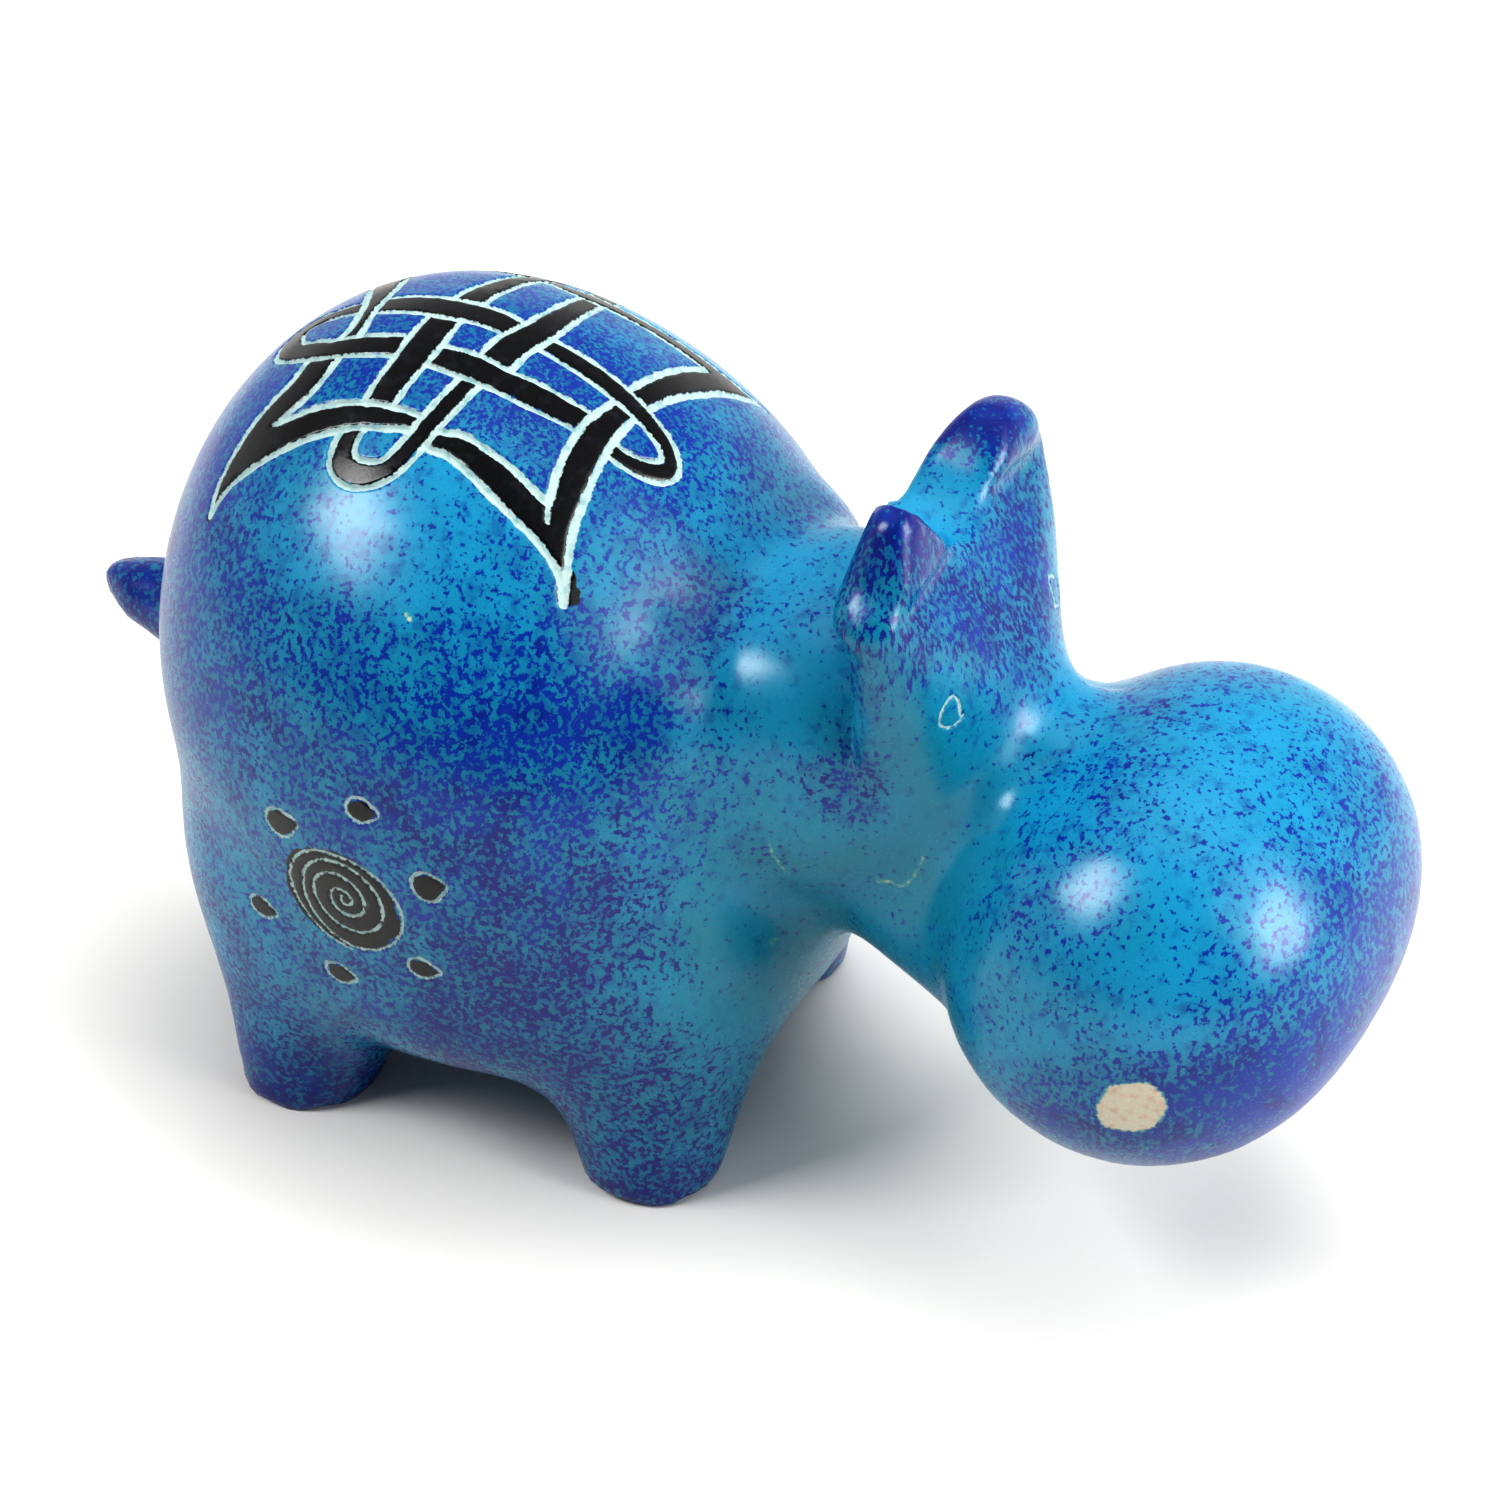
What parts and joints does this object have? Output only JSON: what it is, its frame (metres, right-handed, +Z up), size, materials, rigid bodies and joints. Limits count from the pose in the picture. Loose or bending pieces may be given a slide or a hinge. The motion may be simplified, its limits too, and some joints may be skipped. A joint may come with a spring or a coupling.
{
  "type": "carved soapstone hippo figurine",
  "caption": "Stout standing hippo carved from one stone, with stub legs, short tail, hewn ears and a broad round muzzle, dyed and etched.",
  "frame": {"origin": "on the floor, midway between the front of the muzzle and the tip of the tail, in the plane of symmetry", "axes": "+Z up, -Y the way the hippo faces, +X to its left"},
  "size_m": [0.0646, 0.1298, 0.0742],
  "materials": {
    "soapstone": "dyed turquoise with an indigo stipple, black painted knotwork and spiral edged by fine etched pale lines, wax polished"
  },
  "bodies": {
    "root": {"hippo": "soapstone"}
  },
  "joints": []
}
